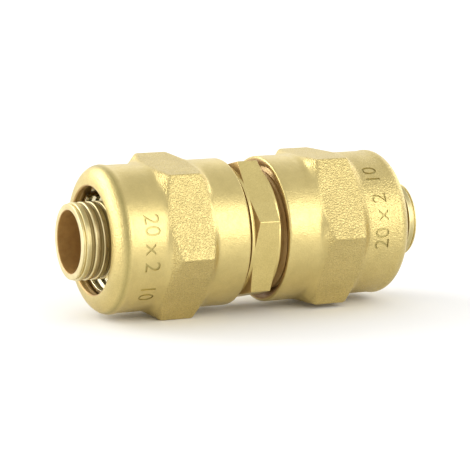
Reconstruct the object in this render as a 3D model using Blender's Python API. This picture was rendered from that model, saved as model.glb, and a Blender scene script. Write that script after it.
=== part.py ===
"""Straight screwed coupling for 20 x 2 mm multilayer pipe, built as fifteen separate pieces.

The pipe axis lies along X. The origin is the middle of the double nipple's hexagon, +Z is up.
Every piece is turned about X. A piece on the right-hand side points towards +X; the same piece on the
left-hand side is turned half a turn about Z, so that both threads stay right-handed.
An outline is a list of (distance along X, radius) points.
"""
import math

import bmesh
import bpy

# Facets round a large turned piece, a sleeve or clamping ring, and a sealing ring.
# NUT_FACETS is a multiple of THREAD_ROWS, so that the rows of a thread meet at its seam.
NUT_FACETS = 32
SLEEVE_FACETS = 24
SEAL_FACETS = 20
SEAL_SECTION_FACETS = 6
SMOOTH_BELOW = math.radians(32)

# Pipe thread, 3/4 inch, 14 turns to the inch, with four rows of points a turn.
PITCH = 0.0254 / 14
THREAD_ROWS = 4
THREAD_ROOT = 0.01206
THREAD_CREST = 0.0132
THREAD_CLEARANCE = 0.0003
MERGE_DISTANCE = 1e-6

# Double nipple, one half of it.
NIPPLE_HEX_ACROSS = 0.0265
NIPPLE_HEX_TURN = math.radians(15)
HEX_RIDGE_X = 0.0021
HEX_FACE_X = 0.00255
BOSS_RADIUS = 0.0132
BOSS_END_X = 0.0031
HEX_BLANK_RADIUS = 0.0156
NECK_RADIUS = 0.0118
NIPPLE_THREAD_X = 0.0048
NIPPLE_THREAD_LENGTH = 0.0077
NIPPLE_END_X = 0.013
NIPPLE_BORE = 0.0072
SEAT_BOTTOM_X = 0.0076
SEAT_CONE_X = 0.0091
SEAT_RADIUS = 0.0092
SEAT_SLOPE = math.tan(math.radians(15))

# Nut, from its inner end outwards.
NUT_ACROSS = 0.030
NUT_LENGTH = 0.02835
NUT_COLLAR_RADIUS = 0.0149
NUT_COLLAR_ROUND = 0.0004
NUT_MOUTH_RADIUS = 0.014
NUT_BAND_RADIUS = 0.01475
NUT_CORNER_RADIUS = 0.0174
NUT_HEX_START = 0.0091
NUT_HEX_END = 0.0158
NUT_REAR_SHOULDER = 0.0021
NUT_FRONT_SHOULDER = 0.0022
NOSE_RADIUS = 0.01493
NOSE_LENGTH = 0.0030
NOSE_HOLE = 0.01077
NUT_THREAD_START = 0.0005
NUT_THREAD_END = 0.0106
NUT_CONE_START = 0.0221
NUT_CONE_END = 0.0272
NUT_CHAMBER = 0.01335

# Where the nuts stand: a nut screwed off by an angle moves out by that share of the pitch.
NUT_SEAT_X = 0.0040
NUT_TURN = {"left": math.radians(22.9), "right": math.radians(90)}

# Split clamping ring, from its inner end outwards. It lies in the nut's nose.
RING_IN_NUT = 0.0166
RING_LENGTH = 0.0095
RING_RADIUS = 0.0126
RING_CONE_START = 0.0062
RING_FRONT_RADIUS = 0.0109
RING_TOOTH_RADIUS = 0.0101
RING_TOOTH_DEPTH = 0.0005
RING_TOOTH_PITCH = 0.0016
RING_TEETH = 5
RING_SLIT = math.radians(17)
RING_SLIT_TURN = {"left": math.radians(35), "right": math.radians(20)}

# Support sleeve.
SLEEVE_BORE = 0.00627
STEM_RADIUS = 0.0078
SLEEVE_TIP_X = 0.0369
SLEEVE_TIP_RADIUS = 0.0072
SLEEVE_TIP_TAPER = 0.0008
SLEEVE_START_X = 0.008
SLEEVE_SEAT_GAP = 0.0003
FLANGE_X = 0.0133
FLANGE_LENGTH = 0.002
FLANGE_RADIUS = 0.0113
BARB_FIRST = 0.00184
BARB_PITCH = 0.0018
BARB_GROOVE = 0.0008
BARB_DEPTH = 0.00055
BARB_GROOVES = 4
SLEEVE_PULL = {"left": 0.0, "right": 0.0008}

# Sealing rings: the place and size of each one's section, and its groove in the sleeve.
SEAL_SECTION = 0.0006
SEAL_RADIUS = 0.00765
SEAL_GROOVE_RADIUS = 0.00685
SEAL_GROOVE_LENGTH = 0.002
SEAL_X = {"inner": 0.0215, "outer": 0.0266}
CONE_SEAL_X = 0.0112
CONE_SEAL_RADIUS = 0.009
CONE_SEAL_SECTION = 0.00062
CONE_GROOVE_RADIUS = 0.0082
CONE_GROOVE_LENGTH = 0.0018

# Insulating disc, the pipe's stop.
DISC_GAP = 0.0003
DISC_THICKNESS = 0.0012
DISC_BORE = 0.0081
DISC_RADIUS = 0.011

SIDES = {"left": math.pi, "right": 0.0}


def clear_scene():
    for item in list(bpy.data.objects):
        bpy.data.objects.remove(item, do_unlink=True)


def make_material(name, colour, roughness, metallic):
    material = bpy.data.materials.new(name)
    material.use_nodes = True
    shader = material.node_tree.nodes["Principled BSDF"]
    shader.inputs["Base Color"].default_value = (*colour, 1.0)
    shader.inputs["Roughness"].default_value = roughness
    shader.inputs["Metallic"].default_value = metallic
    return material


def spin_outline(bm, outline, facets, closed, sweep=2 * math.pi):
    """Turn an outline about X. A sweep short of a full turn gets a flat cap at each end."""
    verts = [bm.verts.new((x, 0.0, radius)) for x, radius in outline]
    edges = [bm.edges.new(pair) for pair in zip(verts, verts[1:])]
    if closed:
        edges.append(bm.edges.new((verts[-1], verts[0])))
    full = sweep >= 2 * math.pi
    turned = bmesh.ops.spin(bm, geom=verts + edges, cent=(0, 0, 0), axis=(1, 0, 0),
                            angle=sweep, steps=facets, use_merge=full)
    if not full:
        bm.faces.new(verts)
        ends = {item for item in turned["geom_last"] if isinstance(item, bmesh.types.BMVert)}
        rim = [edge for edge in bm.edges if edge.verts[0] in ends and edge.verts[1] in ends]
        bmesh.ops.contextual_create(bm, geom=rim)


def thread_patch(bm, origin_x, first, last, root, crest, outside):
    """Add a right-hand thread as a lattice of points between two plain rings.

    One step along X is the pitch over the facets, so a column's points lie a few steps further on
    than those of the column before it. The first and last steps are plain rings: at the root of an
    outside thread, at the crest of an inside one. The thread runs out at 45 degrees towards them.
    """
    step = PITCH / NUT_FACETS
    steps_a_row = NUT_FACETS // THREAD_ROWS
    ring_radius = root if outside else crest
    points = {}

    def point(row, column):
        turns, column = divmod(column, NUT_FACETS)
        row += turns * THREAD_ROWS
        place = min(max(row * steps_a_row + column, first), last)
        at_end = place in (first, last)
        key = (place, column) if at_end else (place, column, row)
        if key not in points:
            run_out = min(place - first, last - place) * step
            radius = root if row % THREAD_ROWS < 2 else crest
            if outside:
                radius = min(radius, ring_radius + run_out)
            else:
                radius = max(radius, ring_radius - run_out)
            angle = 2 * math.pi * column / NUT_FACETS
            x = origin_x + place * step
            points[key] = bm.verts.new((x, -radius * math.sin(angle), radius * math.cos(angle)))
        return points[key]

    rows = range(first // steps_a_row - THREAD_ROWS - 1, last // steps_a_row + 2)
    for row in rows:
        for column in range(NUT_FACETS):
            corners = [point(row, column), point(row + 1, column),
                       point(row + 1, column + 1), point(row, column + 1)]
            corners = list(dict.fromkeys(corners))
            if len(corners) > 2:
                bm.faces.new(corners)


def finish_mesh(bm, name):
    bmesh.ops.remove_doubles(bm, verts=bm.verts, dist=MERGE_DISTANCE)
    bmesh.ops.recalc_face_normals(bm, faces=bm.faces)
    mesh = bpy.data.meshes.new(name)
    bm.to_mesh(mesh)
    bm.free()
    mesh.shade_smooth()
    mesh.set_sharp_from_angle(angle=SMOOTH_BELOW)
    return mesh


def turned_mesh(name, outline, facets, sweep=2 * math.pi):
    bm = bmesh.new()
    spin_outline(bm, outline, facets, closed=True, sweep=sweep)
    return finish_mesh(bm, name)


def place_mesh(name, mesh, material, parent, x=0.0, turn=0.0):
    item = bpy.data.objects.new(name, mesh)
    bpy.context.scene.collection.objects.link(item)
    item.location = (x, 0, 0)
    item.rotation_euler = (turn, 0, 0)
    item.parent = parent
    if material:
        mesh.materials.append(material)
    return item


def trim_to_hexagon(item, across, length):
    """Cut a turned piece to a hexagon with a corner at its +Z, by a hidden hexagon bar."""
    bm = bmesh.new()
    corner = across / 2 / math.cos(math.pi / 6)
    angles = [k * math.pi / 3 for k in range(6)]
    rim = [bm.verts.new((-length, -corner * math.sin(a), corner * math.cos(a))) for a in angles]
    end = bm.faces.new(rim)
    pushed = bmesh.ops.extrude_face_region(bm, geom=[end])["geom"]
    moved = [part for part in pushed if isinstance(part, bmesh.types.BMVert)]
    bmesh.ops.translate(bm, verts=moved, vec=(2 * length, 0, 0))
    bar = place_mesh(item.name + "_bar", finish_mesh(bm, item.name + "_bar"), None, item)
    bar.hide_render = True
    bar.display_type = "WIRE"
    cut = item.modifiers.new("hexagon", "BOOLEAN")
    cut.operation = "INTERSECT"
    cut.object = bar


def nipple_mesh():
    """One half is built along +X, and its copy, half a turn about Z away, is the other half."""
    last = round(NIPPLE_THREAD_LENGTH * NUT_FACETS / PITCH)
    thread_end = NIPPLE_THREAD_X + last * PITCH / NUT_FACETS
    ridge_slope = (HEX_FACE_X - HEX_RIDGE_X) / (
        NIPPLE_HEX_ACROSS / 2 / math.cos(math.pi / 6) - BOSS_RADIUS)
    blank_x = HEX_FACE_X - ridge_slope * (HEX_BLANK_RADIUS - BOSS_RADIUS)
    hexagon = [(0, HEX_BLANK_RADIUS), (blank_x, HEX_BLANK_RADIUS), (HEX_FACE_X, BOSS_RADIUS),
               (BOSS_END_X, BOSS_RADIUS), (BOSS_END_X, NECK_RADIUS),
               (NIPPLE_THREAD_X - 0.0003, NECK_RADIUS), (NIPPLE_THREAD_X, THREAD_ROOT)]
    seat_mouth = SEAT_RADIUS + SEAT_SLOPE * (NIPPLE_END_X - SEAT_CONE_X)
    seat = [(thread_end, THREAD_ROOT), (NIPPLE_END_X, 0.0116), (NIPPLE_END_X, seat_mouth),
            (SEAT_CONE_X, SEAT_RADIUS), (SEAT_BOTTOM_X, SEAT_RADIUS),
            (SEAT_BOTTOM_X, NIPPLE_BORE + 0.0004), (SEAT_BOTTOM_X - 0.0004, NIPPLE_BORE),
            (0, NIPPLE_BORE)]
    bm = bmesh.new()
    for half_turn in (False, True):
        before = set(bm.verts)
        spin_outline(bm, hexagon, NUT_FACETS, closed=False)
        thread_patch(bm, NIPPLE_THREAD_X, 0, last, THREAD_ROOT, THREAD_CREST, outside=True)
        spin_outline(bm, seat, NUT_FACETS, closed=False)
        if half_turn:
            for vert in set(bm.verts) - before:
                vert.co.x = -vert.co.x
                vert.co.y = -vert.co.y
    return finish_mesh(bm, "double_nipple")


def nut_outline():
    """The nut's surface without its thread, from the thread's outer end round to its inner end."""
    inside = [(NUT_CONE_START, NUT_CHAMBER), (NUT_CONE_END, NOSE_HOLE),
              (NUT_LENGTH - 0.0002, NOSE_HOLE)]
    nose_start = NUT_LENGTH - NOSE_LENGTH
    nose_height = NOSE_RADIUS - NOSE_HOLE - 0.0003
    nose = []
    for k in range(6):
        angle = math.radians(90 - 18 * k)
        nose.append((nose_start + NOSE_LENGTH * math.sin(angle),
                     NOSE_RADIUS - nose_height * (1 - math.cos(angle))))
    body = [(nose_start - 0.0012, NUT_BAND_RADIUS),
            (NUT_HEX_END + NUT_FRONT_SHOULDER, NUT_BAND_RADIUS),
            (NUT_HEX_END, NUT_CORNER_RADIUS), (NUT_HEX_START, NUT_CORNER_RADIUS),
            (NUT_HEX_START - NUT_REAR_SHOULDER, NUT_COLLAR_RADIUS),
            (NUT_COLLAR_ROUND, NUT_COLLAR_RADIUS), (0, NUT_COLLAR_RADIUS - NUT_COLLAR_ROUND),
            (0, NUT_MOUTH_RADIUS)]
    return inside + nose + body


def nut_mesh(name):
    """The thread's lattice is the nipple's, seen from the nut's inner end, with clearance added."""
    step = PITCH / NUT_FACETS
    origin_x = NIPPLE_THREAD_X - NUT_SEAT_X
    first = round((NUT_THREAD_START - origin_x) / step)
    last = round((NUT_THREAD_END - origin_x) / step)
    root = THREAD_ROOT + THREAD_CLEARANCE
    crest = THREAD_CREST + THREAD_CLEARANCE
    plain = [(origin_x + last * step, crest)] + nut_outline() + [(origin_x + first * step, crest)]
    bm = bmesh.new()
    spin_outline(bm, plain, NUT_FACETS, closed=False)
    thread_patch(bm, origin_x, first, last, root, crest, outside=False)
    return finish_mesh(bm, name)


def clamp_ring_outline():
    outer = [(0.0004, RING_RADIUS), (RING_CONE_START, RING_RADIUS),
             (RING_LENGTH, RING_FRONT_RADIUS), (RING_LENGTH, RING_TOOTH_RADIUS + 0.0001)]
    teeth = [(RING_LENGTH - 0.0006, RING_TOOTH_RADIUS)]
    valley = RING_TOOTH_RADIUS + RING_TOOTH_DEPTH
    for k in range(RING_TEETH):
        tooth = RING_LENGTH - 0.0006 - k * RING_TOOTH_PITCH
        teeth.append((tooth - 0.25 * RING_TOOTH_PITCH, valley))
        teeth.append((tooth - 0.60 * RING_TOOTH_PITCH, valley))
        teeth.append((tooth - 0.95 * RING_TOOTH_PITCH, RING_TOOTH_RADIUS))
    return outer + teeth + [(0, RING_TOOTH_RADIUS), (0, RING_RADIUS - 0.0004)]


def groove(middle, length, floor, before, after):
    """A square groove with the radius of the surface before it and after it."""
    start = middle - length / 2
    end = middle + length / 2
    return [(start, before), (start, floor), (end, floor), (end, after)]


def seat_radius(x):
    """The radius of the sleeve's cone, clear of the nipple's seat."""
    return SEAT_RADIUS + SEAT_SLOPE * (x - SEAT_CONE_X) - SLEEVE_SEAT_GAP


def sleeve_outline():
    cone_groove = groove(CONE_SEAL_X, CONE_GROOVE_LENGTH, CONE_GROOVE_RADIUS,
                         seat_radius(CONE_SEAL_X - CONE_GROOVE_LENGTH / 2),
                         seat_radius(CONE_SEAL_X + CONE_GROOVE_LENGTH / 2))
    points = [(SLEEVE_START_X, SLEEVE_BORE + 0.0004), (SLEEVE_START_X, seat_radius(SEAT_CONE_X)),
              (SEAT_CONE_X, seat_radius(SEAT_CONE_X))] + cone_groove
    points += [(FLANGE_X, seat_radius(NIPPLE_END_X)), (FLANGE_X, FLANGE_RADIUS),
               (FLANGE_X + FLANGE_LENGTH, FLANGE_RADIUS), (FLANGE_X + FLANGE_LENGTH, STEM_RADIUS)]
    for x in sorted(SEAL_X.values()):
        points += groove(x, SEAL_GROOVE_LENGTH, SEAL_GROOVE_RADIUS, STEM_RADIUS, STEM_RADIUS)
    barbs = []
    for k in range(BARB_GROOVES):
        end = SLEEVE_TIP_X - BARB_FIRST - k * BARB_PITCH
        start = end - BARB_GROOVE
        floor = STEM_RADIUS - BARB_DEPTH
        barbs += [(end, STEM_RADIUS), (end - 0.00015, floor), (start + 0.00015, floor),
                  (start, STEM_RADIUS)]
    points += reversed(barbs)
    points += [(SLEEVE_TIP_X - SLEEVE_TIP_TAPER, STEM_RADIUS),
               (SLEEVE_TIP_X - 0.0003, STEM_RADIUS - 0.00025), (SLEEVE_TIP_X, SLEEVE_TIP_RADIUS),
               (SLEEVE_TIP_X, SLEEVE_BORE + 0.0001), (SLEEVE_TIP_X - 0.0001, SLEEVE_BORE),
               (SLEEVE_START_X + 0.0004, SLEEVE_BORE)]
    return points


def seal_outline(radius, section):
    angles = [2 * math.pi * (k + 0.5) / SEAL_SECTION_FACETS for k in range(SEAL_SECTION_FACETS)]
    return [(section * math.sin(a), radius + section * math.cos(a)) for a in angles]


def build_nipple(brass):
    mesh = nipple_mesh()
    item = place_mesh("double_nipple", mesh, brass, None, turn=NIPPLE_HEX_TURN)
    trim_to_hexagon(item, NIPPLE_HEX_ACROSS, 2 * NIPPLE_END_X)


def build_sleeve(side, base, brass, rubber, plastic):
    """The sleeve and what it carries share one empty, because they slide together."""
    carrier = place_empty(side + "_sleeve_slide", base, SLEEVE_PULL[side])
    mesh = turned_mesh(side + "_support_sleeve", sleeve_outline(), SLEEVE_FACETS)
    place_mesh(side + "_support_sleeve", mesh, brass, carrier)
    for place, x in SEAL_X.items():
        name = side + "_seal_ring_" + place
        mesh = turned_mesh(name, seal_outline(SEAL_RADIUS, SEAL_SECTION), SEAL_FACETS)
        place_mesh(name, mesh, rubber, carrier, x=x)
    name = side + "_cone_seal_ring"
    mesh = turned_mesh(name, seal_outline(CONE_SEAL_RADIUS, CONE_SEAL_SECTION), SEAL_FACETS)
    place_mesh(name, mesh, rubber, carrier, x=CONE_SEAL_X)
    disc = [(0, DISC_BORE), (0, DISC_RADIUS), (DISC_THICKNESS, DISC_RADIUS),
            (DISC_THICKNESS, DISC_BORE)]
    mesh = turned_mesh(side + "_insulating_disc", disc, SLEEVE_FACETS)
    place_mesh(side + "_insulating_disc", mesh, plastic, carrier,
               x=FLANGE_X + FLANGE_LENGTH + DISC_GAP)


def build_clamp(side, base, brass, ring_brass):
    """The ring and the nut share one empty, which travels along the thread."""
    turn = NUT_TURN[side]
    carrier = place_empty(side + "_clamp_travel", base, NUT_SEAT_X + PITCH * turn / (2 * math.pi))
    sweep = 2 * math.pi - RING_SLIT
    mesh = turned_mesh(side + "_clamp_ring", clamp_ring_outline(), SLEEVE_FACETS, sweep)
    place_mesh(side + "_clamp_ring", mesh, ring_brass, carrier, x=RING_IN_NUT,
               turn=RING_SLIT_TURN[side] + RING_SLIT / 2)
    nut = place_mesh(side + "_nut", nut_mesh(side + "_nut"), brass, carrier, turn=turn)
    trim_to_hexagon(nut, NUT_ACROSS, 2 * NUT_LENGTH)


def place_empty(name, parent, x=0.0, half_turn=0.0):
    empty = bpy.data.objects.new(name, None)
    bpy.context.scene.collection.objects.link(empty)
    empty.location = (x, 0, 0)
    empty.rotation_euler = (0, 0, half_turn)
    empty.parent = parent
    return empty


def build_coupling():
    clear_scene()
    forged = make_material("forged_brass", (0.80, 0.66, 0.36), 0.34, 1.0)
    turned = make_material("turned_brass", (0.82, 0.69, 0.40), 0.24, 1.0)
    spring = make_material("ring_brass", (0.84, 0.72, 0.45), 0.28, 1.0)
    rubber = make_material("black_rubber", (0.02, 0.02, 0.02), 0.6, 0.0)
    plastic = make_material("white_plastic", (0.85, 0.85, 0.82), 0.45, 0.0)
    build_nipple(turned)
    for side, half_turn in SIDES.items():
        base = place_empty(side + "_side", None, half_turn=half_turn)
        build_sleeve(side, base, turned, rubber, plastic)
        build_clamp(side, base, forged, spring)


build_coupling()
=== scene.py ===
"""Detailed pieces, materials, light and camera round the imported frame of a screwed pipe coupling.

Lengths are in metres. The pipe axis is X, and an angle round it is measured from +Z towards -Y.
A piece is a lattice of points: its columns go round the axis, and its rows follow an outline of
(x, radius) corners. Right-hand pieces are built as they stand. A left-hand piece is built the same
way and then turned half a turn about Z, so both sides keep right-hand threads.
"""
import math
from collections import namedtuple

import bmesh
import bpy
import numpy as np
from mathutils import Matrix, Quaternion, Vector


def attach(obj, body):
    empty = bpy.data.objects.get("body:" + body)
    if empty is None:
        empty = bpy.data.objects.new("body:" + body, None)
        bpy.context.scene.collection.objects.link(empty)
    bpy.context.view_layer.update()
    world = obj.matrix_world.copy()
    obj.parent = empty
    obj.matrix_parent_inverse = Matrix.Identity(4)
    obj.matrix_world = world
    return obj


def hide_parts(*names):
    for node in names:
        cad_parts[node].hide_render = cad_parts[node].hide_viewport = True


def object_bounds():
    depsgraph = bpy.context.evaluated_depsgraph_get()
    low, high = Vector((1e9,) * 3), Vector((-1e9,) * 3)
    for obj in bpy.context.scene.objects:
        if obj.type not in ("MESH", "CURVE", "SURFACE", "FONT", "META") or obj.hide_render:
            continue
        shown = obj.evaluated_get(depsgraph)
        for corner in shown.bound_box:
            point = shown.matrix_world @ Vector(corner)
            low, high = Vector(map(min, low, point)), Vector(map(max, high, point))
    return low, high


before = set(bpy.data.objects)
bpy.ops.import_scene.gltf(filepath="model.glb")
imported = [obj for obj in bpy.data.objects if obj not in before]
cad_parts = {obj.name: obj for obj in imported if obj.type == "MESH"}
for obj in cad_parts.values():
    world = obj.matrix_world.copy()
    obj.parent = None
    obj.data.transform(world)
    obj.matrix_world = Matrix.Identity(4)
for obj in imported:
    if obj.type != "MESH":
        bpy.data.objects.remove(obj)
cad_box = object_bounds()

# Thread, 3/4 inch pipe size, 14 turns to the inch. Its lattice has so many rows a turn. Its profile
# is a cosine, PROFILE_HEIGHT times as tall as the thread, cut off at root and crest.
PITCH = 0.0254 / 14
THREAD_ROWS = 10
THREAD_ROOT = 0.01206
THREAD_CREST = 0.0132
THREAD_CLEARANCE = 0.0003
THREAD_ORIGIN = 0.0048
ROOT_PHASE = 0.125
PROFILE_HEIGHT = 1.3

# Double nipple, one half of it. The slope is that of the chamfer on the hexagon's corners.
NIPPLE_FLAT = 0.01325
NIPPLE_RIDGE_ROUND = 0.00025
NIPPLE_TURN = math.radians(15)
HEX_FACE_X = 0.00255
HEX_CHAMFER_SLOPE = 0.215
HEX_CHAMFER_LEAST = 0.00003
BOSS_RADIUS = 0.01335
BOSS_END_X = 0.0032
NECK_RADIUS = 0.0118
NECK_RELIEF = 0.0003
NIPPLE_THREAD_END = 0.0125
NIPPLE_END_X = 0.013
NIPPLE_END_RADIUS = 0.0116
NIPPLE_BORE = 0.0072
SEAT_BOTTOM_X = 0.0076
SEAT_CONE_X = 0.0091
SEAT_RADIUS = 0.0092
SEAT_SLOPE = math.tan(math.radians(15))

# Nut, from its inner end outwards.
NUT_FLAT = 0.015
NUT_CORNER_RADIUS = 0.0174
NUT_LENGTH = 0.02835
COLLAR_RADIUS = 0.0149
COLLAR_ROUND = 0.00055
MOUTH_RADIUS = 0.014
BAND_RADIUS = 0.01475
HEX_START = 0.0091
HEX_END = 0.0158
REAR_SHOULDER = 0.0021
FRONT_SHOULDER = 0.0022
NOSE_RADIUS = 0.01493
NOSE_LENGTH = 0.0030
NOSE_HOLE = 0.01077
NOSE_RIM = 0.0003
NOSE_CHAMFER_LENGTH = 0.00022
NOSE_CHAMFER_DEPTH = 0.00025
NOSE_STEPS = 25
NOSE_FOOT_X = 0.0242
NOSE_SHOULDER_X = 0.0263
NUT_THREAD_START = 0.0005
NUT_THREAD_END = 0.0106
NUT_THREAD_RELIEF = 0.0006
CONE_START = 0.0221
CONE_END = 0.0272
CHAMBER = 0.01335
RIDGE_ROUND = 0.0004
# How far the ends of the flats bow outwards, as a share of the bow that a plain cone would cut.
SHOULDER_BULGE = 0.55

# Where the nuts stand: a nut screwed off by an angle moves out by that share of the pitch.
NUT_SEAT_X = 0.0040
NUT_TURN = {"left": math.radians(22.9), "right": math.radians(90)}

# Split clamping ring, from its inner end outwards. A tooth's valley and crest are shares of the
# pitch, measured inwards from the crest before it.
RING_IN_NUT = 0.0166
RING_LENGTH = 0.0095
RING_RADIUS = 0.0126
RING_CHAMFER = 0.0004
RING_LEAD_IN = 0.0001
RING_CONE_START = 0.0062
RING_FRONT_RADIUS = 0.0109
RING_TOOTH_RADIUS = 0.0101
RING_TOOTH_DEPTH = 0.0005
RING_TOOTH_PITCH = 0.0016
RING_TOOTH_FIRST = 0.0006
RING_VALLEY = (0.25, 0.60)
RING_CREST = 0.95
RING_TEETH = 5
RING_SLIT = math.radians(17)
RING_SLIT_TURN = {"left": math.radians(35), "right": math.radians(20)}

# Support sleeve. A barb is the sharp land between two of the grooves near its tip. The pull is how
# far a sleeve stands out of its seat.
SLEEVE_BORE = 0.00627
SLEEVE_CHAMFER = 0.0004
STEM_RADIUS = 0.0078
SLEEVE_TIP_X = 0.0369
SLEEVE_TIP_RADIUS = 0.0072
SLEEVE_TIP_TAPER = 0.0008
SLEEVE_LIP_RADIUS = 0.00755
SLEEVE_LIP_LENGTH = 0.0003
TIP_GROOVE_END = 0.0004
TIP_CHAMFER = 0.0001
LAND_SLOPE = 0.00006
SLEEVE_START_X = 0.008
SLEEVE_SEAT_GAP = 0.0003
FLANGE_X = 0.0133
FLANGE_LENGTH = 0.002
FLANGE_RADIUS = 0.0113
BARB_FIRST = 0.00184
BARB_PITCH = 0.0018
BARB_GROOVE = 0.0008
BARB_DEPTH = 0.00055
BARB_SLANT = 0.00012
BARB_GROOVES = 4
SLEEVE_PULL = {"left": 0.0, "right": 0.0008}

# Sealing rings and the insulating disc.
SEAL_SECTION = 0.0006
SEAL_RADIUS = 0.00765
SEAL_GROOVE_RADIUS = 0.00685
SEAL_GROOVE_LENGTH = 0.002
SEAL_X = {"inner": 0.0215, "outer": 0.0266}
CONE_SEAL_X = 0.0112
CONE_SEAL_RADIUS = 0.009
CONE_SEAL_SECTION = 0.00062
CONE_GROOVE_RADIUS = 0.0082
CONE_GROOVE_LENGTH = 0.0018
DISC_X = 0.0156
DISC_THICKNESS = 0.0012
DISC_BORE = 0.0081
DISC_RADIUS = 0.011

# How finely the lattices are divided. A sector is the sixth of a hexagon round one corner.
SECTOR_COLUMNS = 60
CORNER_CROWDING = 1.45
SLEEVE_COLUMNS = 180
SEAL_COLUMNS = 96
SEAL_SECTION_POINTS = 24
ARC_POINTS = 5
LONGEST_CUT = 0.48
MERGE_DISTANCE = 1e-6
SMOOTH_BELOW = math.radians(35)

# How far a corner's rounding reaches along its sides. It never takes more of a side than
# LONGEST_CUT says.
HAIR_CUT = 0.00004
BOSS_FOOT_CUT = 0.00005
SHARP_CUT = 0.00008
FINE_CUT = 0.0001
RIM_CUT = 0.00012
EDGE_CUT = 0.0002
LIP_CUT = 0.00022
SOFT_CUT = 0.0004
BLEND_CUT = 0.0005
REAR_SHOULDER_CUT = 0.0007
FRONT_SHOULDER_CUT = 0.0009

# Camera: where it stands, the way it looks, and how far it is rolled.
CAMERA_PLACE = (-0.20202, -0.41511, 0.07910)
CAMERA_LOOK = (0.43132, 0.88625, -0.16887)
CAMERA_ROLL = math.radians(0.663)
CAMERA_LENS = 176.17
CAMERA_SHIFT = (-0.00558, -0.01058)

FLOOR_SIZE = 12.0
WORLD_STRENGTH = 0.88

# The studio's lights, all aimed at the middle of the coupling.
Softbox = namedtuple("Softbox", "name place size power")
SOFTBOXES = [Softbox("key", (0.55, -1.1, 0.50), (1.2, 1.0), 9),
             Softbox("left_panel", (-1.3, 0.4, 0.35), (1.8, 0.8), 13),
             Softbox("back_panel", (0.5, 1.4, 0.8), (2.0, 1.0), 4),
             Softbox("left_back_panel", (-0.95, 1.2, 0.95), (0.9, 0.9), 11),
             Softbox("right_back_panel", (1.5, 0.55, 0.5), (0.8, 0.8), 5)]

# Marks cut into the nuts' bands: a mark's text, and the angle where its middle stands. The letters
# are shaped in millimetres before they are bent round the band, and their points merge at
# MARK_MERGE_DISTANCE in millimetres too.
Mark = namedtuple("Mark", "text angle")
MARK_X = 0.0212
MARK_SIZE = 0.0046
MARK_DEPTH = 0.00015
MARK_MERGE_DISTANCE = 1e-4
MILLIMETRE = 0.001
MARKS = {"left": [Mark("20 x 2", math.radians(-85)), Mark("10", math.radians(-128))],
         "right": [Mark("20 x 2", math.radians(80)), Mark("10", math.radians(40))]}

# Painted brown shade runs from 0, clean metal, through 1, brown, to 2, nearly black.
# It stands in for shade and dim reflections in bores, threads, grooves and gaps between parts.
BROWN_LIGHT = (0.56, 0.345, 0.11)
BROWN_DARK = (0.36, 0.195, 0.055)
PAINTED_SHADE_BLACK = (0.07, 0.05, 0.015)
INNER_BROWN_SHADE = 0.85
GAP_WALL_BROWN_SHADE = 1.3
NECK_BROWN_SHADE = 0.9
THREAD_BROWN_SHADE_SHARE = 0.4
HEX_END_BROWN_SHADE = 0.7
GROOVE_BROWN_SHADE = 1.3
RING_BROWN_SHADE = 0.4

# Painted shade runs from 0 to 1, this olive, in the marks and grooves, on a land of each sleeve,
# where it dims the highlight, and in the middle gap. Along the shoulder of each nut's nose it is
# a painted dark reflection.
OLIVE = (0.30, 0.25, 0.085)
MARK_SHADE = 0.65
GROOVE_SHADE = 0.7
LAND_SHADE = 0.45
GAP_SHADE = 0.1
SHOULDER_DARK_REFLECTION = {"left": 0.65, "right": 0.1}
SHOULDER_HALF_WIDTH = 0.0008

# Grain runs from 0, smooth, to 1, as rough as the nuts' flats. A nut has the collar's grain all
# over, and more of it on its nose and its band.
COLLAR_GRAIN = 0.22
NOSE_GRAIN = 0.45
BAND_GRAIN = {"left": 0.15, "right": 0.7}
GRAIN_PAST_HEX_START = 0.0012
GRAIN_PAST_HEX_END = 0.0016
GRAIN_FADE = 0.0003
NOSE_GRAIN_FADE = 0.0005
NIPPLE_GRAIN_FADE = 0.0002

# Where the masks stop, as distances from the edges and surfaces of the pieces.
ON_BOSS_END = 0.00002
ON_SURFACE = 0.00005
MASK_MARGIN = 0.0001
BELOW_BOSS = 0.00015
NUT_THREAD_OUTSIDE = 0.0136
NUT_THREAD_REACH = 0.0112
NECK_FADE = (THREAD_ORIGIN + 0.0004, THREAD_ORIGIN + 0.0020)
MARK_REACH = 0.0025
MARK_FLOOR = 0.0002
GROOVE_FLOOR = 0.00025
TIP_CLEAR_OF_GROOVES = 0.0014

# Which way a wall faces, as the least share of its normal that points that way.
NOT_INWARD = -0.3
HALF_OUTWARD = 0.5
FULLY_OUTWARD = 0.9
HEX_END_ONWARD = 0.6
BOSS_END_ONWARD = 0.7

# How fine the patterns in the metal are: roughly, how many times they repeat in a metre.
CLOUD_SCALE = 260.0
UNEVEN_SCALE = 700.0
BROWN_SCALE = 900.0
SCRATCH_SCALE = 1300.0
PIT_SCALE = 3600.0
SPECKLE_SCALE = 3800.0
LINE_SCALE = 4500.0
# How deep they are at a strength of 1, in metres.
LINE_DEPTH = 0.00001
UNEVEN_DEPTH = 0.00006
PIT_DEPTH = 0.00010

Corner = namedtuple("Corner", "x radius cut steps", defaults=(0.0, 1))

# A brass finish: its colours, roughness, and how strong its turning lines, dents and grain are.
Finish = namedtuple("Finish", "light dark dull roughness lines uneven grain")


# ---------------------------------------------------------------- lattices

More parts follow.
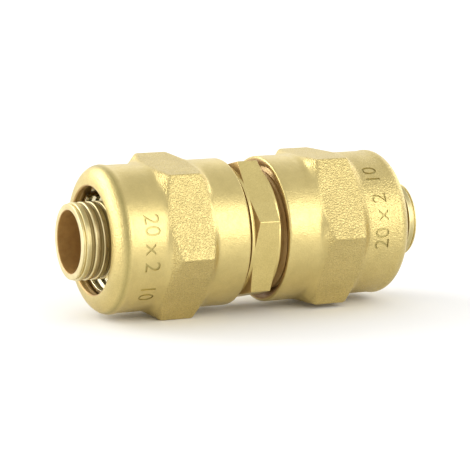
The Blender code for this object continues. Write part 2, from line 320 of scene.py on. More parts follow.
def outline_rows(corners, columns):
    """The points of an open outline, as two arrays of rows by columns: x and radius.

    A corner's cut is how far its rounding reaches along both of its sides, and its steps are the
    rows from there to the next corner. A corner's x or radius may differ from column to column.
    """
    places = np.zeros((len(corners), columns, 2))
    for k, corner in enumerate(corners):
        places[k, :, 0] = corner.x
        places[k, :, 1] = corner.radius
    rows = []
    for k, corner in enumerate(corners):
        here = places[k]
        if corner.cut and 0 < k < len(corners) - 1:
            into = shortened(places[k - 1], here, corner.cut)
            out = shortened(places[k + 1], here, corner.cut)
            for t in np.linspace(0, 1, ARC_POINTS):
                rows.append((1 - t) ** 2 * into + 2 * t * (1 - t) * here + t ** 2 * out)
        else:
            out = here
            rows.append(here)
        if k + 1 < len(corners):
            following = places[k + 1]
            if corners[k + 1].cut and k + 2 < len(corners):
                following = shortened(here, following, corners[k + 1].cut)
            for step in range(1, corner.steps):
                t = step / corner.steps
                rows.append((1 - t) * out + t * following)
    points = np.stack(rows)
    return points[:, :, 0], points[:, :, 1]


def shortened(far, near, cut):
    """The point that lies cut away from near towards far, or not quite half way if that is less."""
    side = far - near
    length = np.maximum(np.linalg.norm(side, axis=1), 1e-9)
    share = np.minimum(cut / length, LONGEST_CUT)
    return near + side * share[:, None]


def thread_rows(angles, origin, first, last, root, crest, outside):
    """A right-hand thread between two plain rings, as outline_rows gives it.

    Each column's rows lie further on than those of the column before it, and are held between the
    rings. The thread runs out at 45 degrees towards them.
    """
    start = math.floor((first - origin) / PITCH * THREAD_ROWS) - THREAD_ROWS
    end = math.ceil((last - origin) / PITCH * THREAD_ROWS)
    row = np.arange(start, end + 1)[:, None]
    x = origin + (row / THREAD_ROWS + angles[None, :] / (2 * math.pi)) * PITCH
    x = np.clip(x, first, last)
    wave = -np.cos(2 * math.pi * (row / THREAD_ROWS - ROOT_PHASE)) * PROFILE_HEIGHT
    radius = (root + crest) / 2 + (crest - root) / 2 * np.clip(wave, -1, 1) + 0 * x
    run_out = np.minimum(x - first, last - x)
    if outside:
        radius = np.minimum(radius, root + run_out)
    else:
        radius = np.maximum(radius, crest - run_out)
    return x, radius


def even_angles(columns):
    return np.arange(columns) * 2 * math.pi / columns


def hexagon_angles():
    """Columns round a hexagon, closest together at its corners. The first corner is at +Z."""
    share = np.arange(SECTOR_COLUMNS) / SECTOR_COLUMNS * 2 - 1
    bent = np.sign(share) * np.abs(share) ** CORNER_CROWDING
    sector = np.radians(30) * bent
    return np.concatenate([sector + math.radians(60) * k for k in range(6)])


def hexagon_radius(angles, flat, rounding):
    """How far a hexagon with rounded corners reaches at each angle."""
    from_corner = (angles + math.pi / 6) % (math.pi / 3) - math.pi / 6
    from_flat = math.pi / 6 - np.abs(from_corner)
    plain = flat / np.cos(from_flat)
    centre = (flat - rounding) / math.cos(math.pi / 6)
    tangent = math.atan2(rounding / 2, centre + rounding * math.cos(math.pi / 6))
    inside = np.maximum(rounding ** 2 - (centre * np.sin(from_corner)) ** 2, 0)
    arc = centre * np.cos(from_corner) + np.sqrt(inside)
    return np.where(np.abs(from_corner) < tangent, arc, plain)


def nut_travel(side):
    """How far a nut's inner end stands from the middle of the coupling."""
    return NUT_SEAT_X + PITCH * NUT_TURN[side] / (2 * math.pi)


def side_place(side, shift, turn):
    """The move along the axis and the turn about it, on that side of the coupling."""
    place = Matrix.Translation((shift, 0, 0)) @ Matrix.Rotation(turn, 4, "X")
    if side == "left":
        place = Matrix.Rotation(math.pi, 4, "Z") @ place
    return place


def close_up(bm, mesh, distance):
    """Join the points that coincide, turn all faces outwards, and put the result in the mesh."""
    bmesh.ops.remove_doubles(bm, verts=bm.verts, dist=distance)
    bmesh.ops.recalc_face_normals(bm, faces=bm.faces)
    bm.to_mesh(mesh)
    bm.free()


def smooth(mesh):
    """Shade a mesh smooth, apart from its sharp edges."""
    mesh.shade_smooth()
    mesh.set_sharp_from_angle(angle=SMOOTH_BELOW)


class Shell:
    """Collects the lattices of one closed surface, and makes its mesh."""

    def __init__(self):
        self.points = []
        self.faces = []
        self.count = 0

    def add(self, x, radius, angles, seam_shift=0, full=True):
        """Add a lattice. Past the seam, a thread's rows carry on seam_shift rows further down."""
        rows, columns = x.shape
        turned = [x, -radius * np.sin(angles), radius * np.cos(angles)]
        self.points.append(np.stack(turned, axis=-1).reshape(-1, 3))
        last_column = columns if full else columns - 1
        row, column = np.meshgrid(np.arange(rows - 1), np.arange(last_column), indexing="ij")

        def index(down, across):
            down = down + np.where(across == columns, seam_shift, 0)
            return self.count + np.minimum(down, rows - 1) * columns + across % columns

        quads = [index(row, column), index(row + 1, column),
                 index(row + 1, column + 1), index(row, column + 1)]
        self.faces += np.stack(quads, axis=-1).reshape(-1, 4).tolist()
        if not full:
            for side in (0, columns - 1):
                self.faces.append((self.count + np.arange(rows - 1) * columns + side).tolist())
        self.count += rows * columns

    def mesh(self, name, shift, turn, side):
        """The closed mesh, moved and turned, on its own side of the coupling."""
        mesh = bpy.data.meshes.new(name)
        mesh.from_pydata(np.concatenate(self.points).tolist(), [], self.faces)
        bm = bmesh.new()
        bm.from_mesh(mesh)
        close_up(bm, mesh, MERGE_DISTANCE)
        mesh.transform(side_place(side, shift, turn))
        smooth(mesh)
        return mesh


# ---------------------------------------------------------------- pieces

def add_object(name, data):
    item = bpy.data.objects.new(name, data)
    bpy.context.scene.collection.objects.link(item)
    return item


def add_piece(node, mesh, body, material):
    """Put a detailed piece in place of its CAD node, on that node's body."""
    item = add_object(node + "_fine", mesh)
    mesh.materials.append(material)
    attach(item, body)
    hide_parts(node)
    return item


def turned_shell(corners, columns):
    """A closed outline turned all the way round."""
    shell = Shell()
    x, radius = outline_rows(corners + corners[:1], columns)
    shell.add(x, radius, even_angles(columns))
    return shell


def nut_shell():
    angles = hexagon_angles()
    count = len(angles)
    hexagon = hexagon_radius(angles, NUT_FLAT, RIDGE_ROUND)
    crest = THREAD_CREST + THREAD_CLEARANCE
    origin = THREAD_ORIGIN - NUT_SEAT_X
    front_slope = SHOULDER_BULGE * FRONT_SHOULDER / (NUT_CORNER_RADIUS - BAND_RADIUS)
    rear_slope = SHOULDER_BULGE * REAR_SHOULDER / (NUT_CORNER_RADIUS - COLLAR_RADIUS)
    flat_front = HEX_END + front_slope * (NUT_CORNER_RADIUS - hexagon)
    flat_rear = HEX_START - rear_slope * (NUT_CORNER_RADIUS - hexagon)
    nose_start = NUT_LENGTH - NOSE_LENGTH
    nose_height = NOSE_RADIUS - NOSE_HOLE - NOSE_RIM

    corners = [Corner(NUT_THREAD_END, crest, 0, 2),
               Corner(NUT_THREAD_END + NUT_THREAD_RELIEF, CHAMBER, FINE_CUT, 8),
               Corner(CONE_START, CHAMBER, SOFT_CUT, 12),
               Corner(CONE_END, NOSE_HOLE, EDGE_CUT, 3),
               Corner(NUT_LENGTH - NOSE_CHAMFER_LENGTH, NOSE_HOLE, EDGE_CUT, 1),
               Corner(NUT_LENGTH, NOSE_HOLE + NOSE_CHAMFER_DEPTH, FINE_CUT, 1)]
    for k in range(1, NOSE_STEPS):
        angle = math.radians(90 - 90 * k / NOSE_STEPS)
        corners.append(Corner(nose_start + NOSE_LENGTH * math.sin(angle),
                              NOSE_RADIUS - nose_height * (1 - math.cos(angle))))
    corners += [Corner(nose_start, NOSE_RADIUS, BLEND_CUT, 3),
                Corner(NOSE_FOOT_X, BAND_RADIUS, BLEND_CUT, 18),
                Corner(HEX_END + FRONT_SHOULDER, BAND_RADIUS, FRONT_SHOULDER_CUT, 6),
                Corner(flat_front, hexagon, BLEND_CUT, 34),
                Corner(flat_rear, hexagon, BLEND_CUT, 6),
                Corner(HEX_START - REAR_SHOULDER, COLLAR_RADIUS, REAR_SHOULDER_CUT, 20),
                Corner(0.0, COLLAR_RADIUS, COLLAR_ROUND, 2),
                Corner(0.0, MOUTH_RADIUS, FINE_CUT, 2),
                Corner(NUT_THREAD_START, crest)]
    shell = Shell()
    shell.add(*outline_rows(corners, count), angles)
    rows = thread_rows(angles, origin, NUT_THREAD_START, NUT_THREAD_END,
                       THREAD_ROOT + THREAD_CLEARANCE, crest, outside=False)
    shell.add(*rows, angles, seam_shift=THREAD_ROWS)
    return shell


def nipple_half_shell(thread_turn):
    """Half of the nipple, open at its middle, with its thread turned against the hexagon."""
    angles = hexagon_angles()
    hexagon = hexagon_radius(angles, NIPPLE_FLAT, NIPPLE_RIDGE_ROUND)
    count = len(angles)
    chamfer = np.maximum(HEX_CHAMFER_SLOPE * (hexagon - BOSS_RADIUS), HEX_CHAMFER_LEAST)
    outside = [Corner(0.0, hexagon, 0, 10),
               Corner(HEX_FACE_X - chamfer, hexagon, FINE_CUT, 3),
               Corner(HEX_FACE_X, BOSS_RADIUS, BOSS_FOOT_CUT, 2),
               Corner(BOSS_END_X, BOSS_RADIUS, RIM_CUT, 3),
               Corner(BOSS_END_X, NECK_RADIUS, EDGE_CUT, 3),
               Corner(THREAD_ORIGIN - NECK_RELIEF, NECK_RADIUS, 0, 1),
               Corner(THREAD_ORIGIN, THREAD_ROOT)]
    seat_mouth = SEAT_RADIUS + SEAT_SLOPE * (NIPPLE_END_X - SEAT_CONE_X)
    inside = [Corner(NIPPLE_THREAD_END, THREAD_ROOT, 0, 1),
              Corner(NIPPLE_END_X, NIPPLE_END_RADIUS, FINE_CUT, 3),
              Corner(NIPPLE_END_X, seat_mouth, FINE_CUT, 8),
              Corner(SEAT_CONE_X, SEAT_RADIUS, 0, 3),
              Corner(SEAT_BOTTOM_X, SEAT_RADIUS, 0, 3),
              Corner(SEAT_BOTTOM_X, NIPPLE_BORE, SOFT_CUT, 12),
              Corner(0.0, NIPPLE_BORE)]
    shell = Shell()
    shell.add(*outline_rows(outside, count), angles)
    rows = thread_rows(angles + thread_turn, THREAD_ORIGIN, THREAD_ORIGIN, NIPPLE_THREAD_END,
                       THREAD_ROOT, THREAD_CREST, outside=True)
    shell.add(*rows, angles, seam_shift=THREAD_ROWS)
    shell.add(*outline_rows(inside, count), angles)
    return shell


def clamp_ring_shell():
    """The ring with teeth inside, open at its slit."""
    teeth = [Corner(RING_LENGTH - RING_TOOTH_FIRST, RING_TOOTH_RADIUS, SHARP_CUT, 2)]
    floor = RING_TOOTH_RADIUS + RING_TOOTH_DEPTH
    for k in range(RING_TEETH):
        tooth = RING_LENGTH - RING_TOOTH_FIRST - k * RING_TOOTH_PITCH
        for share in RING_VALLEY:
            teeth.append(Corner(tooth - share * RING_TOOTH_PITCH, floor, FINE_CUT, 1))
        crest = tooth - RING_CREST * RING_TOOTH_PITCH
        teeth.append(Corner(crest, RING_TOOTH_RADIUS, SHARP_CUT, 1))
    corners = [Corner(RING_CHAMFER, RING_RADIUS, FINE_CUT, 5),
               Corner(RING_CONE_START, RING_RADIUS, SOFT_CUT, 6),
               Corner(RING_LENGTH, RING_FRONT_RADIUS, RIM_CUT, 3),
               Corner(RING_LENGTH, RING_TOOTH_RADIUS + RING_LEAD_IN, FINE_CUT, 1)]
    corners += teeth
    corners += [Corner(0.0, RING_TOOTH_RADIUS, FINE_CUT, 2),
                Corner(0.0, RING_RADIUS - RING_CHAMFER, FINE_CUT, 1)]
    angles = np.linspace(0, 2 * math.pi - RING_SLIT, SLEEVE_COLUMNS)
    shell = Shell()
    x, radius = outline_rows(corners + corners[:1], len(angles))
    shell.add(x, radius, angles, full=False)
    return shell


def groove(middle, length, floor, before, after):
    """A square groove with the radius of the surface before it and after it."""
    start = middle - length / 2
    end = middle + length / 2
    return [Corner(start, before, FINE_CUT, 1), Corner(start, floor, FINE_CUT, 2),
            Corner(end, floor, FINE_CUT, 1), Corner(end, after, FINE_CUT, 3)]


def seat_radius(x):
    """The radius of the sleeve's cone, clear of the nipple's seat."""
    return SEAT_RADIUS + SEAT_SLOPE * (x - SEAT_CONE_X) - SLEEVE_SEAT_GAP


def sleeve_shell():
    corners = [Corner(SLEEVE_START_X, SLEEVE_BORE + SLEEVE_CHAMFER, 0, 2),
               Corner(SLEEVE_START_X, seat_radius(SEAT_CONE_X), FINE_CUT, 2),
               Corner(SEAT_CONE_X, seat_radius(SEAT_CONE_X), 0, 2)]
    corners += groove(CONE_SEAL_X, CONE_GROOVE_LENGTH, CONE_GROOVE_RADIUS,
                      seat_radius(CONE_SEAL_X - CONE_GROOVE_LENGTH / 2),
                      seat_radius(CONE_SEAL_X + CONE_GROOVE_LENGTH / 2))
    corners += [Corner(FLANGE_X, seat_radius(NIPPLE_END_X), FINE_CUT, 2),
                Corner(FLANGE_X, FLANGE_RADIUS, EDGE_CUT, 2),
                Corner(FLANGE_X + FLANGE_LENGTH, FLANGE_RADIUS, EDGE_CUT, 3),
                Corner(FLANGE_X + FLANGE_LENGTH, STEM_RADIUS, EDGE_CUT, 4)]
    for x in sorted(SEAL_X.values()):
        corners += groove(x, SEAL_GROOVE_LENGTH, SEAL_GROOVE_RADIUS, STEM_RADIUS, STEM_RADIUS)
    barbs = []
    floor = STEM_RADIUS - BARB_DEPTH
    for k in range(BARB_GROOVES):
        end = SLEEVE_TIP_X - BARB_FIRST - k * BARB_PITCH
        start = end - BARB_GROOVE
        barbs += [Corner(end, STEM_RADIUS - LAND_SLOPE, SHARP_CUT, 3),
                  Corner(end - BARB_SLANT, floor, EDGE_CUT, 1),
                  Corner(start + BARB_SLANT, floor, EDGE_CUT, 2),
                  Corner(start, STEM_RADIUS, LIP_CUT, 1)]
    corners += reversed(barbs)
    tip_groove = SLEEVE_TIP_X - SLEEVE_TIP_TAPER
    corners += [Corner(tip_groove, STEM_RADIUS, LIP_CUT, 2),
                Corner(tip_groove + TIP_CHAMFER, SLEEVE_TIP_RADIUS, FINE_CUT, 2),
                Corner(SLEEVE_TIP_X - TIP_GROOVE_END, SLEEVE_TIP_RADIUS, FINE_CUT, 2),
                Corner(SLEEVE_TIP_X - SLEEVE_LIP_LENGTH, SLEEVE_LIP_RADIUS, FINE_CUT, 2),
                Corner(SLEEVE_TIP_X, SLEEVE_LIP_RADIUS, LIP_CUT, 2),
                Corner(SLEEVE_TIP_X, SLEEVE_BORE + TIP_CHAMFER, HAIR_CUT, 2),
                Corner(SLEEVE_TIP_X - TIP_CHAMFER, SLEEVE_BORE, HAIR_CUT, 30),
                Corner(SLEEVE_START_X + SLEEVE_CHAMFER, SLEEVE_BORE, 0, 1)]
    return turned_shell(corners, SLEEVE_COLUMNS)


def seal_shell(x, radius, section):
    angles = np.arange(SEAL_SECTION_POINTS) * math.pi / (SEAL_SECTION_POINTS / 2)
    corners = [Corner(x + section * math.sin(a), radius + section * math.cos(a)) for a in angles]
    return turned_shell(corners, SEAL_COLUMNS)


def disc_shell():
    corners = [Corner(DISC_X, DISC_BORE, FINE_CUT, 3),
               Corner(DISC_X, DISC_RADIUS, EDGE_CUT, 2),
               Corner(DISC_X + DISC_THICKNESS, DISC_RADIUS, EDGE_CUT, 3),
               Corner(DISC_X + DISC_THICKNESS, DISC_BORE, FINE_CUT, 2)]
    return turned_shell(corners, SEAL_COLUMNS)


def nipple_mesh():
    """Both halves, joined at the middle and turned to where the hexagon stands.

    The threads stay where the nuts' threads are, so each half's thread is turned back by as much
    as the hexagon is turned, as that half sees it.
    """
    bm = bmesh.new()
    for side, thread_turn in (("right", NIPPLE_TURN), ("left", -NIPPLE_TURN)):
        half = nipple_half_shell(thread_turn).mesh("nipple_half", 0, 0, side)
        bm.from_mesh(half)
        bpy.data.meshes.remove(half)
    mesh = bpy.data.meshes.new("double_nipple")
    close_up(bm, mesh, MERGE_DISTANCE)
    mesh.transform(Matrix.Rotation(NIPPLE_TURN, 4, "X"))
    smooth(mesh)
    return mesh


def add_nipple(finishes):
    mesh = nipple_mesh()
    add_piece("double_nipple", mesh, "nipple", finishes["nipple"])
    paint(mesh, "painted_brown_shade", nipple_brown_shade)
    paint(mesh, "shade", nipple_shade)
    paint(mesh, "grain", nipple_grain)


def add_sleeve(side, finishes):
    """The sleeve of one side, and the seals and disc that move with it."""
    body = side + "_sleeve"
    pull = SLEEVE_PULL[side]
    node = side + "_support_sleeve"
    mesh = sleeve_shell().mesh(node, pull, 0, side)
    add_piece(node, mesh, body, finishes["sleeve"])
    paint(mesh, "painted_brown_shade", sleeve_brown_shade(pull))
    paint(mesh, "shade", sleeve_shade(pull))

    seals = [("_seal_ring_" + place, seal_shell(x, SEAL_RADIUS, SEAL_SECTION))
             for place, x in SEAL_X.items()]
    seals.append(("_cone_seal_ring",
                  seal_shell(CONE_SEAL_X, CONE_SEAL_RADIUS, CONE_SEAL_SECTION)))
    for label, shell in seals:
        node = side + label
        mesh = shell.mesh(node, pull, 0, side)
        add_piece(node, mesh, body, finishes["rubber"])

    node = side + "_insulating_disc"
    mesh = disc_shell().mesh(node, pull, 0, side)
    add_piece(node, mesh, body, finishes["plastic"])


def add_clamp_ring(side, finishes):
    node = side + "_clamp_ring"
    turn = RING_SLIT_TURN[side] + RING_SLIT / 2
    mesh = clamp_ring_shell().mesh(node, nut_travel(side) + RING_IN_NUT, turn, side)
    add_piece(node, mesh, side + "_clamp", finishes["ring"])
    paint(mesh, "painted_brown_shade", ring_brown_shade)


def add_nut(side, finishes):
    node = side + "_nut"
    travel = nut_travel(side)
    mesh = nut_shell().mesh(node, travel, NUT_TURN[side], side)
    item = add_piece(node, mesh, node, finishes["nut"])
    stamp(item, side)
    paint(item.data, "painted_brown_shade", nut_brown_shade(travel))
    paint(item.data, "shade", nut_shade(travel, SHOULDER_DARK_REFLECTION[side]))
    paint(item.data, "grain", nut_grain(travel, BAND_GRAIN[side]))


# ---------------------------------------------------------------- marks and masks

def mark_cutter(mark, side):
    """Letters bent round a nut's band, to cut into it. Their tops point to the nut's hexagon."""
    curve = bpy.data.curves.new("mark", "FONT")
    curve.body = mark.text
    curve.size = MARK_SIZE / MILLIMETRE
    curve.extrude = MARK_DEPTH / MILLIMETRE
    curve.align_x = "CENTER"
    curve.align_y = "CENTER"
    curve.resolution_u = 4
    letters = add_object("mark", curve)
    graph = bpy.context.evaluated_depsgraph_get()
    mesh = bpy.data.meshes.new_from_object(letters.evaluated_get(graph))
    bpy.data.objects.remove(letters)
    bm = bmesh.new()
    bm.from_mesh(mesh)
    close_up(bm, mesh, MARK_MERGE_DISTANCE)
    for vert in mesh.vertices:
        across, up, above = vert.co * MILLIMETRE
        angle = mark.angle - across / BAND_RADIUS
        radius = BAND_RADIUS + above
        vert.co = (MARK_X - up, -radius * math.sin(angle), radius * math.cos(angle))
    mesh.transform(side_place(side, nut_travel(side), 0))
    return mesh


def stamp(item, side):
    """Cut the side's marks into its nut."""
    for mark in MARKS[side]:
        cutter = add_object("mark", mark_cutter(mark, side))
        cut = item.modifiers.new("mark", "BOOLEAN")
        cut.operation = "DIFFERENCE"
        cut.solver = "MANIFOLD"
        cut.object = cutter
        graph = bpy.context.evaluated_depsgraph_get()
        carved = bpy.data.meshes.new_from_object(item.evaluated_get(graph))
        item.modifiers.clear()
        item.data = carved
        bpy.data.objects.remove(cutter)
    smooth(item.data)


def paint(mesh, name, rule):
    """Store a mask, which the rule gives from four measures of each point.

    They are its distance from the middle along the axis, its distance from the axis, and the shares
    of its normal that point outward from the axis and onward, away from the middle.
    """
    count = len(mesh.vertices)
    points = np.empty(count * 3)
    normals = np.empty(count * 3)
    mesh.vertices.foreach_get("co", points)
    mesh.vertices.foreach_get("normal", normals)
    points = points.reshape(-1, 3)
    normals = normals.reshape(-1, 3)
    radius = np.hypot(points[:, 1], points[:, 2])
    outward = (normals[:, 1] * points[:, 1] + normals[:, 2] * points[:, 2]) / radius
    onward = normals[:, 0] * np.sign(points[:, 0])
    values = rule(np.abs(points[:, 0]), radius, outward, onward)
    layer = mesh.attributes.new(name, "FLOAT", "POINT")
    layer.data.foreach_set("value", values.astype(np.float32))


def facing_axis(outward):
    """1 on the walls that face the axis, fading to 0 on those that face along it."""
    return np.clip(-outward * 3, 0, 1)


# Painted shade in brown inside the nut and on its thread, darker on its end wall at the gap.
def nut_brown_shade(travel):
    def rule(along, radius, outward, onward):
        inside = np.minimum(facing_axis(outward), INNER_BROWN_SHADE)
        mouth = (along < travel + ON_SURFACE) & (radius < COLLAR_RADIUS - COLLAR_ROUND)
        thread = (radius < NUT_THREAD_OUTSIDE) & (along < travel + NUT_THREAD_REACH)
        return np.maximum.reduce([inside, GAP_WALL_BROWN_SHADE * mouth, thread])
    return rule


# Painted shade in olive in the cut marks; a painted dark reflection along the nose's shoulder.
def nut_shade(travel, shoulder_reflection):
    def rule(along, radius, outward, onward):
        marks = (radius < BAND_RADIUS - ON_SURFACE) & (radius > BAND_RADIUS - MARK_FLOOR)
        marks = marks & (np.abs(along - travel - MARK_X) < MARK_REACH)
        from_shoulder = np.abs(along - travel - NOSE_SHOULDER_X)
        shoulder = np.clip(1 - from_shoulder / SHOULDER_HALF_WIDTH, 0, 1) * (outward > 0)
        return np.maximum(MARK_SHADE * marks, shoulder_reflection * shoulder)
    return rule


def nut_grain(travel, band_grain):
    def rule(along, radius, outward, onward):
        past_start = along - travel - HEX_START + GRAIN_PAST_HEX_START
        before_end = travel + HEX_END + GRAIN_PAST_HEX_END - along
        flats = np.clip(past_start / GRAIN_FADE, 0, 1) * np.clip(before_end / GRAIN_FADE, 0, 1)
        past_foot = along - travel - NUT_LENGTH + NOSE_LENGTH
        nose = np.clip(past_foot / NOSE_GRAIN_FADE, COLLAR_GRAIN, NOSE_GRAIN)
        band = band_grain * (along > travel + HEX_END)
        return np.maximum.reduce([flats, nose, band]) * (outward > 0)
    return rule


# Painted shade in brown in the gaps (neck, thread, boss and hexagon ends) and in the bore.
def nipple_brown_shade(along, radius, outward, onward):
    neck = (along > BOSS_END_X - ON_BOSS_END) & (radius < BOSS_RADIUS - BELOW_BOSS)
    neck = NECK_BROWN_SHADE * neck * np.interp(along, NECK_FADE, [1.0, THREAD_BROWN_SHADE_SHARE])
    boss_end = (along > BOSS_END_X - ON_SURFACE) & (onward > BOSS_END_ONWARD)
    hexagon_end = (along < BOSS_END_X - MASK_MARGIN) & (onward > HEX_END_ONWARD)
    return np.maximum.reduce([neck, GAP_WALL_BROWN_SHADE * boss_end, HEX_END_BROWN_SHADE * hexagon_end,
                              facing_axis(outward)])


# Painted shade in olive, faint, on what lies below the boss in the gaps.
def nipple_shade(along, radius, outward, onward):
    gap = (along > HEX_FACE_X) & (radius < BOSS_RADIUS - MASK_MARGIN) & (outward > NOT_INWARD)
    return GAP_SHADE * gap


def nipple_grain(along, radius, outward, onward):
    before_face = HEX_FACE_X - MASK_MARGIN - along
    return np.clip(before_face / NIPPLE_GRAIN_FADE, 0, 1) * (outward > 0)


def in_grooves(along, radius, outward, pull):
    """Where the sleeve's grooves are, clear of its tip and of what lies inside the nipple."""
    stem = (along > FLANGE_X) & (along < pull + SLEEVE_TIP_X - TIP_CLEAR_OF_GROOVES)
    return stem & (radius < STEM_RADIUS - GROOVE_FLOOR) & (outward > NOT_INWARD)


# Painted shade in brown in the sleeve's bore and grooves, darker in the grooves.
def sleeve_brown_shade(pull):
    def rule(along, radius, outward, onward):
        grooves = GROOVE_BROWN_SHADE * in_grooves(along, radius, outward, pull)
        return np.maximum(facing_axis(outward), grooves)
    return rule


# Painted shade in olive in the grooves, and over the highlight on the first land behind the tip.
def sleeve_shade(pull):
    def rule(along, radius, outward, onward):
        from_tip = pull + SLEEVE_TIP_X - along
        land = (from_tip > SLEEVE_TIP_TAPER + MASK_MARGIN) & (from_tip < BARB_FIRST - MASK_MARGIN)
        land = land & (outward > FULLY_OUTWARD)
        grooves = in_grooves(along, radius, outward, pull)
        return np.maximum(GROOVE_SHADE * grooves, LAND_SHADE * land)
    return rule


# Painted shade in brown on the ring's outer walls, which lie inside the nut.
def ring_brown_shade(along, radius, outward, onward):
    return RING_BROWN_SHADE * (outward > HALF_OUTWARD)


# ---------------------------------------------------------------- materials

class Nodes:
    """A short way to make and link the nodes of one material."""

    def __init__(self, name):
        self.material = bpy.data.materials.new(name)
        self.material.use_nodes = True
        self.tree = self.material.node_tree
        self.shader = self.tree.nodes["Principled BSDF"]

    def make(self, kind, settings=None, **inputs):
        node = self.tree.nodes.new(kind)
        for key, value in (settings or {}).items():
            setattr(node, key, value)
        for key, value in inputs.items():
            self.put(node, key.replace("_", " "), value)
        return node

    def put(self, node, key, value):
        """Link or set an input. A key of i and a number is the input's place in the list."""
        numbered = key[0] == "i" and key[1:].isdigit()
        socket = node.inputs[int(key[1:])] if numbered else node.inputs[key]
        if isinstance(value, bpy.types.NodeSocket):
            self.tree.links.new(value, socket)
        else:
            socket.default_value = value

    def place(self):
        return self.make("ShaderNodeTexCoord").outputs["Object"]

    def mask(self, name):
        return self.make("ShaderNodeAttribute", {"attribute_name": name}).outputs["Fac"]

    def math(self, operation, first, second=0.0):
        return self.make("ShaderNodeMath", {"operation": operation}, i0=first, i1=second).outputs[0]

    def noise(self, vector, scale, detail=3.0, roughness=0.5):
        return self.make("ShaderNodeTexNoise", Vector=vector, Scale=scale, Detail=detail,
                         Roughness=roughness).outputs["Fac"]

    def ramp(self, value, low, high, to_low=0.0, to_high=1.0):
        node = self.make("ShaderNodeMapRange", {"interpolation_type": "SMOOTHSTEP"}, Value=value,
                         From_Min=low, From_Max=high, To_Min=to_low, To_Max=to_high)
        return node.outputs["Result"]

    def mix(self, share, first, second):
        return self.make("ShaderNodeMix", {"data_type": "RGBA"}, i0=share, i6=first,
                         i7=second).outputs[2]

    def bump(self, height, distance, strength, normal=None):
        node = self.make("ShaderNodeBump", Height=height, Distance=distance, Strength=strength)
        if normal:
            self.put(node, "Normal", normal)
        return node.outputs["Normal"]


def turning_lines(nodes, place):
    """Fine lines round the axis, as a lathe leaves them, that wander a little.

    They show on the walls along the axis and on those that face along it.
    """
    x, y, z = nodes.make("ShaderNodeSeparateXYZ", Vector=place).outputs
    flat = nodes.make("ShaderNodeCombineXYZ", Y=y, Z=z).outputs[0]
    radius = nodes.make("ShaderNodeVectorMath", {"operation": "LENGTH"}, i0=flat).outputs["Value"]
    slow = nodes.make("ShaderNodeVectorMath", {"operation": "SCALE"}, i0=flat, Scale=0.02)
    slow_y, slow_z = nodes.make("ShaderNodeSeparateXYZ", Vector=slow.outputs[0]).outputs[1:]
    across = nodes.math("ADD", x, nodes.math("MULTIPLY", radius, 1.3))
    lines = nodes.make("ShaderNodeCombineXYZ", X=across, Y=slow_y, Z=slow_z).outputs[0]
    return nodes.noise(lines, LINE_SCALE, 3.0, 0.7)


def brass(name, finish):
    """Brass with cast or blasted grain, turning lines, faint clouds, scratches and painted shade.

    The grain mask and two masks of painted shade, brown and olive, are read from the mesh.
    One that a mesh lacks is 0.
    """
    nodes = Nodes(name)
    place = nodes.place()
    painted_brown_shade = nodes.mask("painted_brown_shade")
    grain = nodes.mask("grain")
    shade = nodes.mask("shade")

    clouds = nodes.ramp(nodes.noise(place, CLOUD_SCALE, 4.0, 0.6), 0.32, 0.68)
    speckle = nodes.ramp(nodes.noise(place, SPECKLE_SCALE, 2.0, 0.5), 0.36, 0.64)
    speckled = nodes.math("MULTIPLY", speckle, nodes.math("MULTIPLY", grain, 0.35))
    metal = nodes.mix(clouds, (*finish.dark, 1), (*finish.light, 1))
    dull = nodes.mix(speckled, metal, (*finish.dull, 1))
    # Painted shade: brown, then olive over it, then towards black as the brown mask goes from 1 to
    # 2.
    brown = nodes.mix(nodes.noise(place, BROWN_SCALE, 4.0), (*BROWN_DARK, 1), (*BROWN_LIGHT, 1))
    browned = nodes.mix(painted_brown_shade, dull, brown)
    shaded = nodes.mix(shade, browned, (*OLIVE, 1))
    colour = nodes.mix(nodes.ramp(painted_brown_shade, 1, 2), shaded, (*PAINTED_SHADE_BLACK, 1))
    nodes.put(nodes.shader, "Base Color", colour)
    # The painted brown shade also takes metal away, to dim the reflections there.
    nodes.put(nodes.shader, "Metallic", nodes.ramp(painted_brown_shade, 0, 1, 1.0, 0.35))

    scratches = nodes.ramp(nodes.noise(place, SCRATCH_SCALE, 5.0, 0.7), 0.3, 0.7, -0.05, 0.06)
    rough = nodes.math("ADD", nodes.math("MULTIPLY", grain, 0.06), finish.roughness)
    nodes.put(nodes.shader, "Roughness", nodes.math("ADD", rough, scratches))

    plain_share = nodes.ramp(grain, 0, 1, 1.0, 0.1)
    lined = nodes.bump(turning_lines(nodes, place), LINE_DEPTH * finish.lines, plain_share)
    soft = nodes.noise(place, UNEVEN_SCALE, 2.0)
    uneven = nodes.bump(soft, UNEVEN_DEPTH * finish.uneven, 1.0, lined)
    pits = nodes.noise(place, PIT_SCALE, 0.5, 0.5)
    nodes.put(nodes.shader, "Normal", nodes.bump(pits, PIT_DEPTH * finish.grain, grain, uneven))
    return nodes.material


def soft_finish(name, colour, dark, roughness, depth):
    """Rubber or plastic: a fine mottle in two colours over a slightly pitted surface."""
    nodes = Nodes(name)
    place = nodes.place()
    fine = nodes.noise(place, 1500.0, 3.0)
    nodes.put(nodes.shader, "Base Color", nodes.mix(fine, (*dark, 1), (*colour, 1)))
    rough = nodes.ramp(fine, 0.3, 0.7, roughness - 0.06, roughness + 0.06)
    nodes.put(nodes.shader, "Roughness", rough)
    nodes.put(nodes.shader, "Normal", nodes.bump(nodes.noise(place, 4000.0), depth, 0.5))
    return nodes.material


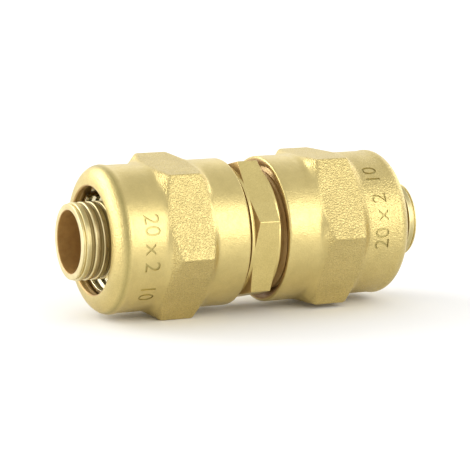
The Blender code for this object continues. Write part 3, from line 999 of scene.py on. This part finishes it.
def make_finishes():
    forged = Finish(light=(0.66, 0.535, 0.222), dark=(0.60, 0.485, 0.198), dull=(0.34, 0.245, 0.08),
                    roughness=0.36, lines=3.0, uneven=0.6, grain=1.8)
    nipple = Finish(light=(0.71, 0.58, 0.235), dark=(0.66, 0.535, 0.21), dull=(0.50, 0.39, 0.14),
                    roughness=0.33, lines=0.6, uneven=0.6, grain=0.25)
    sleeve = Finish(light=(0.78, 0.68, 0.38), dark=(0.66, 0.56, 0.28), dull=(0.60, 0.48, 0.20),
                    roughness=0.37, lines=1.4, uneven=0.6, grain=0.0)
    # Paler than the other brass: partly its paler metal, partly painted light deep in the nut.
    ring = Finish(light=(0.98, 0.92, 0.68), dark=(0.92, 0.85, 0.56), dull=(0.60, 0.48, 0.20),
                  roughness=0.28, lines=0.8, uneven=0.4, grain=0.0)
    return {
        "nut": brass("forged_brass_finish", forged),
        "nipple": brass("nipple_brass_finish", nipple),
        "sleeve": brass("sleeve_brass_finish", sleeve),
        "ring": brass("ring_brass_with_painted_light", ring),
        "rubber": soft_finish("black_rubber_finish", (0.022, 0.022, 0.022), (0.014, 0.014, 0.014),
                              0.6, 0.00002),
        "plastic": soft_finish("white_plastic_finish", (0.85, 0.85, 0.82), (0.74, 0.74, 0.70),
                               0.45, 0.00001),
    }


# ---------------------------------------------------------------- stage

def add_floor(height):
    mesh = bpy.data.meshes.new("floor")
    half = FLOOR_SIZE / 2
    corners = [(-half, -half, height), (half, -half, height), (half, half, height),
               (-half, half, height)]
    mesh.from_pydata(corners, [], [(0, 1, 2, 3)])
    item = add_object("floor", mesh)
    nodes = Nodes("floor_finish")
    nodes.put(nodes.shader, "Base Color", (0.86, 0.855, 0.84, 1))
    nodes.put(nodes.shader, "Roughness", 0.9)
    mesh.materials.append(nodes.material)


def add_softbox(box):
    light = bpy.data.lights.new(box.name, "AREA")
    light.shape = "RECTANGLE"
    light.size, light.size_y = box.size
    light.energy = box.power
    item = add_object(box.name, light)
    item.location = box.place
    item.rotation_mode = "QUATERNION"
    item.rotation_quaternion = (-Vector(box.place)).to_track_quat("-Z", "Y")


def add_world():
    world = bpy.data.worlds.new("studio")
    world.use_nodes = True
    background = world.node_tree.nodes["Background"]
    background.inputs["Color"].default_value = (1, 1, 1, 1)
    background.inputs["Strength"].default_value = WORLD_STRENGTH
    bpy.context.scene.world = world


def add_camera():
    camera = bpy.data.cameras.new("camera")
    camera.lens = CAMERA_LENS
    camera.sensor_width = 36.0
    camera.shift_x, camera.shift_y = CAMERA_SHIFT
    camera.clip_start = 0.01
    camera.clip_end = 50.0
    item = add_object("camera", camera)
    item.location = CAMERA_PLACE
    look = Vector(CAMERA_LOOK).normalized()
    item.rotation_mode = "QUATERNION"
    roll = Quaternion(look, -CAMERA_ROLL)
    item.rotation_quaternion = roll @ look.to_track_quat("-Z", "Y")
    bpy.context.scene.camera = item


def build():
    finishes = make_finishes()
    add_nipple(finishes)
    for side in ("left", "right"):
        add_sleeve(side, finishes)
        add_clamp_ring(side, finishes)
        add_nut(side, finishes)
    add_floor(cad_box[0][2])
    add_world()
    for box in SOFTBOXES:
        add_softbox(box)
    add_camera()
    bpy.context.scene.view_settings.view_transform = "Standard"


build()
